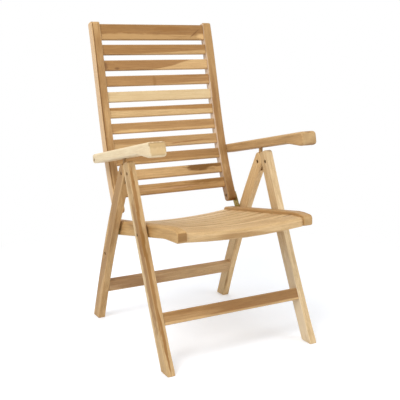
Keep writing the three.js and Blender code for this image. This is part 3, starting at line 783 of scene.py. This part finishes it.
@dataclass
class TurnedBolt:
    """A bolt with domed ends, each with a six-sided socket where it has a head."""

    shank: float = 0.004
    head: float = 0.0064
    head_height: float = 0.0032
    dome: float = 0.001
    socket: float = 0.0022
    socket_depth: float = 0.0018
    rounding: float = 0.0005
    lip: float = 0.0002
    steps: int = 24
    weld: float = 0.00001
    arris_area: float = 0.0000008
    sharp_angle: float = math.radians(35)

    def make(self, node: str, inner_head: bool, outer_head: bool) -> bpy.types.Object:
        """Turns the bolt that stands for a packed one.

        Args:
            node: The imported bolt's node.
            inner_head: Whether the end nearer to the chair's middle has a head.
            outer_head: Whether the outer end has a head.

        Returns:
            The bolt, in place and riding on its body.
        """
        low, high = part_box(node)
        centre = (low + high) / 2
        sign = 1.0 if centre.x > 0 else -1.0
        start = min(abs(low.x), abs(high.x))
        length = high.x - low.x
        near = self._end(inner_head)
        far = [(length - away, radius) for away, radius in reversed(self._end(outer_head))]
        shape = bmesh.new()
        previous = None
        for along, radius in near + far:
            vertex = shape.verts.new((along, radius, 0.0))
            if previous is not None:
                shape.edges.new((previous, vertex))
            previous = vertex
        bmesh.ops.spin(shape, geom=shape.verts[:] + shape.edges[:], cent=(0, 0, 0), axis=(1, 0, 0),
                       dvec=(0, 0, 0), angle=math.tau, steps=self.steps, use_merge=True,
                       use_duplicate=False)
        bmesh.ops.remove_doubles(shape, verts=shape.verts, dist=self.weld)
        self._socket_sides(shape)
        place = Matrix.Translation((sign * start, centre.y, centre.z)) @ Matrix.Diagonal((sign, 1, 1, 1))
        bmesh.ops.transform(shape, matrix=place, verts=shape.verts)
        bmesh.ops.recalc_face_normals(shape, faces=shape.faces)
        arris = shape.faces.layers.float.new(ARRIS)
        for face in shape.faces:
            face.smooth = True
            face[arris] = 1.0 if face.calc_area() < self.arris_area else 0.0
        for edge in shape.edges:
            edge.smooth = not edge.is_manifold or edge.calc_face_angle() < self.sharp_angle
        return show(shape, node)

    def _end(self, has_head: bool) -> list[tuple[float, float]]:
        """Gives the profile of one end, from its middle to the shank.

        Args:
            has_head: Whether the end has a head.

        Returns:
            Pairs of distance from the end and radius.
        """
        if not has_head:
            return [(0.0, 0.0), (0.0, self.shank - self.rounding), (self.rounding, self.shank)]
        reach = self.head_height + self.dome
        return [
            (self.socket_depth, 0.0),
            (self.socket_depth, self.socket),
            (self.lip, self.socket),
            (0.0, self.socket * 1.35),
            (self.dome * 0.35, self.head * 0.75),
            (self.dome, self.head - self.rounding),
            (self.dome + self.rounding, self.head),
            (reach, self.head),
            (reach, self.shank),
        ]

    def _socket_sides(self, shape: bmesh.types.BMesh) -> None:
        """Draws the round rings of the sockets out to six sides.

        Args:
            shape: The bolt's mesh, turned about X.
        """
        sixth = math.tau / 6
        for vertex in shape.verts:
            radius = math.hypot(vertex.co.y, vertex.co.z)
            if abs(radius - self.socket) < self.lip:
                angle = math.atan2(vertex.co.z, vertex.co.y) % sixth - sixth / 2
                stretch = math.cos(sixth / 2) / math.cos(angle)
                vertex.co.y *= stretch
                vertex.co.z *= stretch


@dataclass
class SubAssembly:
    """A group of pieces that is dressed together."""

    groups: FinishGroups
    easing: Easing = field(default_factory=Easing)
    metal_easing: Easing = field(
        default_factory=lambda: Easing(reach=0.0003, segments=1, strip_width=0.0008))
    bolt: TurnedBolt = field(default_factory=TurnedBolt)

    def board(self, node: str, finish: TeakFinish, lay_of: Callable[[str], Lay],
              seed: float) -> bpy.types.Object:
        """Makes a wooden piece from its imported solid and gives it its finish.

        Args:
            node: The solid's node.
            finish: The board's finish.
            lay_of: The function that works out how the board lies.
            seed: Where in the tree the board was sawn from.

        Returns:
            The dressed piece.
        """
        piece = self.easing.copy_of(node)
        piece.data.materials.append(finish.material("teak_" + node, self.groups, lay_of(node), seed))
        log.info("board %s: %d faces", node, len(piece.data.polygons))
        return piece

    def fitting(self, node: str, metal: Metal, slot: str) -> bpy.types.Object:
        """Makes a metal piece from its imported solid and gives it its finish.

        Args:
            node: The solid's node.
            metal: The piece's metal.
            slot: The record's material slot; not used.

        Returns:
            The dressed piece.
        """
        piece = self.metal_easing.copy_of(node)
        piece.data.materials.append(self.metal(metal))
        log.info("fitting %s: %d faces", node, len(piece.data.polygons))
        return piece

    def turned(self, node: str, inner_head: bool, outer_head: bool) -> bpy.types.Object:
        """Turns a bolt that stands for a packed one and gives it its finish.

        Args:
            node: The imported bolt's node.
            inner_head: Whether the end nearer to the chair's middle has a head.
            outer_head: Whether the outer end has a head.

        Returns:
            The dressed bolt.
        """
        piece = self.bolt.make(node, inner_head, outer_head)
        piece.data.materials.append(self.metal(Metal.BOLT))
        return piece

    def metal(self, metal: Metal) -> bpy.types.Material:
        """Gives the material of a metal, made the first time that it is asked for.

        Args:
            metal: The metal.

        Returns:
            Its material.
        """
        name = "metal_" + metal.name.lower()
        return bpy.data.materials.get(name) or metal.value.material(name, self.groups)


@dataclass
class FrontFrame(SubAssembly):
    """The front legs with their stretcher, the knuckles that carry the arms, and their bolts."""

    def build(self) -> None:
        """Makes and dresses every piece of the front frame."""
        dark = paint(148, 104, 50)
        left = varied(
            Teak.PALE, light=paint(220, 190, 142), body=paint(198, 162, 112), heart_from=0.6,
            heart_strength=0.5, spots=(
                Spot(0.26, 0.0, -0.004, (0.012, 0.06, 0.006), paint(96, 62, 30), strength=0.85),
                Spot(0.23, 0.0, -0.006, (0.13, 0.06, 0.009), dark, strength=0.85, blur=0.35),
                Spot(0.1, 0.0, -0.0085, (0.14, 0.06, 0.01), dark, strength=0.85, blur=0.35),
                Spot(-0.06, 0.0, -0.0075, (0.24, 0.06, 0.0115), dark, strength=0.85, blur=0.35),
                Spot(-0.25, 0.0, -0.001, (0.14, 0.06, 0.006), dark, strength=0.95, blur=0.35),
                Spot(0.0, -0.02, -0.0134, (0.5, 0.02, 0.006), paint(228, 200, 154), strength=0.8),
            ))
        right = varied(
            Teak.PALE, light=paint(238, 214, 172), body=paint(214, 184, 138), heart=paint(176, 138, 90),
            heart_from=0.6, heart_strength=0.5,
            # Painted light: a pale patch low on the leg's inner face brightens a face that the lamps leave
            # in shade.
            spots=(Spot(-0.2, 0.0, -0.0134, (0.24, 0.06, 0.004), paint(238, 218, 186),
                        strength=0.7),))
        self.board("front_leg_left", left, side_lay, 0.31)
        self.board("front_leg_right", right, side_lay, 0.87)
        stretcher = varied(Teak.HONEY, band=0.55, band_edge=-0.012)
        self.board("front_stretcher", stretcher, cross_lay, 0.53)
        for index, side in enumerate(SIDES):
            knuckle = "arm_peg_knuckle_" + side
            self.board(knuckle, varied(Teak.PALE), side_lay, 0.2 + 0.4 * index)
            for name in ("knuckle_bolt_", "leg_hinge_bolt_", "seat_pivot_bolt_"):
                self.turned(name + side, True, True)
            self.fitting("seat_pivot_spacer_" + side, Metal.BRASS, "brass")
        log.info("front frame made")


@dataclass
class RearFrame(SubAssembly):
    """The rear legs with their stretcher and the bolts of the links."""

    def build(self) -> None:
        """Makes and dresses every piece of the rear frame."""
        left = varied(Teak.HONEY, heart_strength=0.5)
        right = varied(Teak.PALE, light=paint(240, 210, 160), body=paint(222, 188, 138))
        self.board("rear_leg_left", left, side_lay, 0.12)
        self.board("rear_leg_right", right, side_lay, 0.66)
        stretcher = varied(Teak.TAN, spots=(
            Spot(-0.17, -0.004, -0.01, (0.014, 0.006, 0.03), strength=0.6),
            Spot(0.14, 0.004, -0.01, (0.012, 0.005, 0.03), strength=0.6),
        ))
        self.board("rear_stretcher", stretcher, cross_lay, 0.41)
        for side in SIDES:
            self.turned("link_foot_bolt_" + side, False, True)
        log.info("rear frame made")


@dataclass
class Seat(SubAssembly):
    """The seat rails with their boards, and the brass that carries the back and the links."""

    slats: int = 8
    # How far in from each long edge of a slat the painted gap shadow reaches.
    gap_shade_width: float = 0.006

    def build(self) -> None:
        """Makes and dresses every piece of the seat."""
        left = varied(Teak.HONEY, light=paint(216, 178, 122), body=paint(194, 154, 98),
                      end=paint(122, 86, 42), heart_from=0.64, heart_strength=0.5)
        right = varied(Teak.HONEY, light=paint(200, 162, 110), body=paint(184, 144, 92),
                       end=paint(206, 174, 122), heart_strength=0.5)
        self.board("seat_rail_left", left, side_lay, 0.73)
        self.board("seat_rail_right", right, side_lay, 0.17)
        lip = varied(Teak.PALE, heart_from=0.58, heart_strength=0.45, spots=(
            # Painted shadow: a dark strip along the front board's rear edge stands in for the shadow of the
            # step down to the slats.
            Spot(0.0, 0.039, 0.0, (0.6, 0.009, 0.05), paint(104, 70, 32), strength=0.95),
        ))
        self.board("front_seat_board", lip, cross_lay, 0.59)
        # Each slat's long edges get painted shade for the shadow in the gaps between boards; the first
        # slat's is darkest.
        for index in range(self.slats):
            node = f"seat_slat_{index + 1}"
            low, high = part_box(node)
            finish = varied(Teak.PALE, light=paint(238, 208, 158), body=paint(224, 190, 138),
                            heart=paint(184, 140, 88), heart_strength=0.6, grime=0.4 if index else 0.95,
                            grime_from=(high.y - low.y) / 2 - self.gap_shade_width)
            self.board(node, finish, cross_lay, 0.23 + 0.37 * index)
        for side in SIDES:
            self.fitting("back_hinge_plate_" + side, Metal.BRASS, "brass")
            self.fitting("leg_link_" + side, Metal.BRASS, "brass")
            self.fitting("plate_screw_" + side, Metal.BOLT, "dark_brass")
            self.turned("link_pivot_bolt_" + side, True, False)
        log.info("seat made")


def mark(along: float, wide: float, length: float, width: float, colour: Colour = Spot.colour,
         **more: float) -> Spot:
    """Makes a spot that goes right through a slat of the back.

    Args:
        along: Where its middle is along the slat.
        wide: Where its middle is across the slat.
        length: How far it reaches along the slat.
        width: How far it reaches across the slat.
        colour: Its colour.
        **more: Other values of the spot, or how far it reaches through the slat.

    Returns:
        The spot.
    """
    through = more.pop("through", 0.05)
    return Spot(along, wide, -0.01, (length, width, through), colour, **more)


@dataclass
class Back(SubAssembly):
    """The stiles and slats of the back, with the bolts that it turns on.

    front_face is where the front of a stile lies across the board.
    """

    front_face: float = 0.026

    def build(self) -> None:
        """Makes and dresses every piece of the back."""
        for index, (node, finish) in enumerate(self._stile_finishes().items()):
            self.board(node, finish, side_lay, 0.37 + 0.45 * index)
        for index, (node, finish) in enumerate(self._slat_finishes().items()):
            self.board(node, finish, cross_lay, 0.61 + 0.29 * index)
        for side in SIDES:
            self.fitting("back_pivot_bolt_" + side, Metal.BOLT, "dark_brass")
        log.info("back made")

    def _stile_finishes(self) -> dict[str, TeakFinish]:
        """Gives each stile of the back its own figure.

        Returns:
            The finishes by node.
        """
        return {
            "back_stile_left": varied(
                Teak.HONEY, light=paint(220, 184, 132), heart_from=0.6, heart_strength=0.6, spots=(
                    # Painted light: the outer face is painted paler, as if lit from the left.
                    Spot(0.0, 0.0, -0.018, (0.9, 0.06, 0.004), paint(224, 190, 150), strength=0.8),
                    Spot(0.05, self.front_face, -0.0125, (0.5, 0.06, 0.003), paint(112, 74, 32),
                         blur=0.35),
                    Spot(-0.2, self.front_face, 0.0, (0.22, 0.03, 0.009), paint(146, 104, 52),
                         strength=0.7),
                )),
            "back_stile_right": varied(
                Teak.HONEY, light=paint(194, 156, 104), body=paint(172, 132, 80), spots=(
                    # Painted light: the inner face is painted paler, as if lit from the left.
                    Spot(0.0, 0.0, -0.018, (0.9, 0.06, 0.004), paint(236, 214, 190), strength=0.85),
                    Spot(-0.35, 0.0, 0.0, (0.16, 0.06, 0.06), paint(134, 94, 46), strength=0.8),
                )),
        }

    @staticmethod
    def _slat_finishes() -> dict[str, TeakFinish]:
        """Gives each slat of the back its own figure, from the top down.

        Returns:
            The finishes by node.
        """
        return {
            "back_slat_top": varied(
                Teak.GOLDEN, light=paint(190, 150, 98), heart=paint(142, 98, 46), heart_from=0.6, band=0.6,
                band_edge=-0.01, spots=(
                    mark(-0.1, -0.021, 0.2, 0.018, paint(184, 144, 92), blur=0.3),
                    mark(0.07, 0.012, 0.15, 0.014, paint(142, 96, 42), strength=0.7),
                    mark(0.172, -0.006, 0.04, 0.004, paint(118, 78, 34), turn=0.65),
                    mark(0.205, -0.018, 0.03, 0.016, paint(216, 176, 120), blur=0.4),
                )),
            "back_slat_1": varied(
                Teak.GOLDEN, light=paint(208, 170, 116), heart=paint(164, 120, 66), band=0.8,
                band_edge=-0.0102, band_tilt=-0.049),
            "back_slat_2": varied(
                Teak.HONEY, light=paint(216, 178, 124), heart=paint(166, 122, 70), band=0.9,
                band_edge=-0.0139, band_tilt=-0.214, spots=(
                    mark(-0.164, -0.013, 0.014, 0.008, strength=0.7),
                    mark(-0.208, -0.004, 0.012, 0.02, strength=0.6),
                )),
            "back_slat_3": varied(
                Teak.GOLDEN, light=paint(206, 166, 112), heart=paint(172, 128, 76), band=0.75,
                band_edge=-0.014, band_tilt=-0.04, spots=(
                    mark(-0.021, -0.002, 0.011, 0.03, paint(146, 102, 50), strength=0.8),
                    mark(0.16, 0.014, 0.12, 0.006, paint(146, 100, 44), strength=0.7),
                )),
            "back_slat_4": varied(
                Teak.CREAM, light=paint(224, 200, 156), body=paint(212, 184, 138),
                heart=paint(196, 164, 114)),
            "back_slat_5": varied(
                Teak.PALE, light=paint(216, 182, 130), heart=paint(168, 120, 58), band=0.85,
                band_edge=0.0035, band_tilt=0.015),
            "back_slat_6": varied(
                Teak.GOLDEN, light=paint(212, 172, 118), heart=paint(178, 136, 84), band=0.7,
                band_edge=-0.011, band_tilt=-0.02,
                spots=(mark(-0.12, -0.013, 0.12, 0.009, paint(222, 184, 126), through=0.06),)),
            "back_slat_7": varied(
                Teak.HONEY, heart=paint(174, 134, 82), band=0.6, band_edge=-0.004, band_tilt=0.03,
                spots=(mark(0.08, -0.007, 0.15, 0.0035, paint(146, 98, 46), turn=0.04, through=0.06),)),
            "back_slat_8": varied(
                Teak.GOLDEN, light=paint(206, 166, 112), heart=paint(164, 122, 70), band=0.6,
                band_edge=-0.01),
            "back_slat_9": varied(
                Teak.HONEY, light=paint(220, 184, 132), heart_strength=0.3, spots=(
                    mark(0.125, 0.012, 0.075, 0.021, paint(118, 78, 24), strength=0.95, blur=0.3,
                         through=0.06),
                    mark(0.19, 0.015, 0.09, 0.012, paint(124, 84, 30), strength=0.9, blur=0.3,
                         through=0.06),
                )),
            "back_slat_10": varied(
                Teak.GOLDEN, heart_strength=0.5, spots=(
                    mark(0.15, 0.01, 0.12, 0.014, paint(136, 94, 38), through=0.06),
                    mark(-0.02, -0.004, 0.16, 0.005, paint(214, 172, 128), strength=0.5, through=0.06),
                )),
        }


@dataclass
class Arms(SubAssembly):
    """The two arms and the bolts that they swing on."""

    def build(self) -> None:
        """Makes and dresses every piece of the arms."""
        left = varied(
            Teak.CREAM, light=paint(240, 222, 186), body=paint(232, 210, 172), end=paint(196, 166, 118),
            spots=(
                Spot(-0.262, 0.007, -0.0115, (0.02, 0.006, 0.006), strength=0.7),
                Spot(-0.262, -0.01, -0.005, (0.02, 0.004, 0.004), strength=0.5),
                Spot(-0.256, 0.014, 0.0, (0.014, 0.018, 0.06), paint(166, 136, 92), strength=0.95,
                     blur=0.35),
                Spot(-0.262, -0.01, 0.01, (0.02, 0.016, 0.03), paint(226, 198, 150), strength=0.7),
            ))
        right = varied(Teak.TAN, light=paint(214, 178, 128), body=paint(190, 154, 106),
                       heart=paint(150, 110, 64), end=paint(206, 174, 122))
        for node, finish, seed in (("arm_left", left, 0.44), ("arm_right", right, 0.91)):
            self.board(node, finish, side_lay, seed)
        for side in SIDES:
            self.turned("arm_pivot_bolt_" + side, False, True)
        log.info("arms made")


@dataclass
class Studio:
    """The pale floor, the soft light and the camera."""

    camera_place: Triple = (-1.2104, -2.2817, 0.9854)
    camera_turn: float = math.radians(28.373)
    camera_tilt: float = math.radians(9.178)
    camera_roll: float = math.radians(-0.328)
    lens: float = 67.45
    sensor: float = 36.0
    drop: float = -0.075
    room_light: float = 0.62
    floor_size: float = 14.0
    floor_glow: float = 0.27
    floor_colour: Colour = (0.8, 0.83, 0.88, 1.0)
    floor_fade: tuple[float, float] = (0.75, 1.5)
    floor_roughness: float = 0.6
    floor_gloss: float = 0.1

    def build(self) -> None:
        """Sets up the camera, the lamps, the room and the floor."""
        self._camera()
        self._lamp("key", (-2.3, -1.3, 3.4), 1.8, 86.0)
        self._lamp("fill", (2.4, -2.8, 1.5), 2.4, 46.0)
        self._lamp("rim", (0.6, 3.0, 2.8), 2.6, 30.0)
        self._room()
        self._floor()
        bpy.context.scene.view_settings.view_transform = "Standard"
        log.info("studio made")

    def _camera(self) -> None:
        """Places the camera at the angle that the chair is seen from."""
        data = bpy.data.cameras.new("camera")
        data.lens = self.lens
        data.sensor_width = self.sensor
        data.shift_y = self.drop
        camera = bpy.data.objects.new("camera", data)
        bpy.context.scene.collection.objects.link(camera)
        ahead = Vector((math.sin(self.camera_turn) * math.cos(self.camera_tilt),
                        math.cos(self.camera_turn) * math.cos(self.camera_tilt),
                        -math.sin(self.camera_tilt)))
        level = Vector((math.cos(self.camera_turn), -math.sin(self.camera_turn), 0.0))
        upright = level.cross(ahead)
        right = level * math.cos(self.camera_roll) + upright * math.sin(self.camera_roll)
        up = right.cross(ahead)
        turn = Matrix((right, up, -ahead)).transposed().to_4x4()
        camera.matrix_world = Matrix.Translation(self.camera_place) @ turn
        bpy.context.scene.camera = camera

    @staticmethod
    def _lamp(name: str, place: Triple, size: float, power: float) -> None:
        """Hangs a large soft lamp that points at the chair.

        Args:
            name: The lamp's name.
            place: Where it hangs.
            size: The side of its square face.
            power: Its power in watts.
        """
        data = bpy.data.lights.new(name, "AREA")
        data.size = size
        data.energy = power
        lamp = bpy.data.objects.new(name, data)
        lamp.location = place
        lamp.rotation_euler = (Vector(LAMP_TARGET) - Vector(place)).to_track_quat("-Z", "Y").to_euler()
        bpy.context.scene.collection.objects.link(lamp)

    def _room(self) -> None:
        """Lights the object evenly and shows white behind it."""
        world = bpy.data.worlds.new("room")
        bpy.context.scene.world = world
        world.use_nodes = True
        sketch = NodeSketch(world.node_tree)
        back = world.node_tree.nodes["Background"]
        strength = sketch.math("MULTIPLY", self._seen(sketch), 1.0 - self.room_light)
        sketch.wire(back, {"Strength": sketch.math("ADD", strength, self.room_light), "Color": WHITE})

    @staticmethod
    def _seen(sketch: NodeSketch) -> bpy.types.NodeSocket:
        """Gives 1 where the camera sees a surface, itself or in a gloss, and 0 elsewhere.

        Args:
            sketch: The sketch of the world or material.

        Returns:
            The output that is 1 or 0.
        """
        path = sketch.add("LightPath")
        gloss = sketch.math("MAXIMUM", path.outputs["Is Glossy Ray"], path.outputs["Is Transmission Ray"])
        return sketch.math("MAXIMUM", path.outputs["Is Camera Ray"], gloss)

    def _floor(self) -> None:
        """Lays a pale floor that keeps the chair's shadow."""
        shape = bmesh.new()
        bmesh.ops.create_grid(shape, x_segments=1, y_segments=1, size=self.floor_size)
        mesh = bpy.data.meshes.new("floor")
        shape.to_mesh(mesh)
        shape.free()
        floor = bpy.data.objects.new("floor", mesh)
        bpy.context.scene.collection.objects.link(floor)
        material, sketch, shader = new_material("floor")
        sketch.wire(shader, {
            "Base Color": self.floor_colour, "Roughness": self.floor_roughness,
            "Specular IOR Level": self.floor_gloss, "Emission Color": WHITE,
        })
        seen = self._seen(sketch)
        sketch.feed(shader.inputs["Emission Strength"], sketch.math("MULTIPLY", seen, self.floor_glow))
        place = sketch.add("TexCoord")
        away = sketch.add("VectorMath", operation="LENGTH")
        sketch.feed(away.inputs[0], place.outputs["Object"])
        far = sketch.math("MULTIPLY", sketch.ramp(away.outputs["Value"], *self.floor_fade), seen)
        white = sketch.add("Emission")
        blend = sketch.add("MixShader")
        sketch.wire(blend, {0: far, 1: shader.outputs[0], 2: white.outputs[0]})
        sketch.feed(material.node_tree.nodes["Material Output"].inputs["Surface"], blend.outputs[0])
        mesh.materials.append(material)


def main() -> None:
    """Builds the studio and every sub-assembly of the chair."""
    logging.basicConfig(level=logging.INFO, format="%(name)s: %(message)s")
    Studio().build()
    groups = FinishGroups()
    legs = Easing(foot_reach=0.004)
    arms = Easing(reach=0.003, segments=3)
    for part in (FrontFrame(groups, legs), RearFrame(groups, legs), Seat(groups), Back(groups),
                 Arms(groups, arms)):
        part.build()


if __name__ == "__main__":
    main()
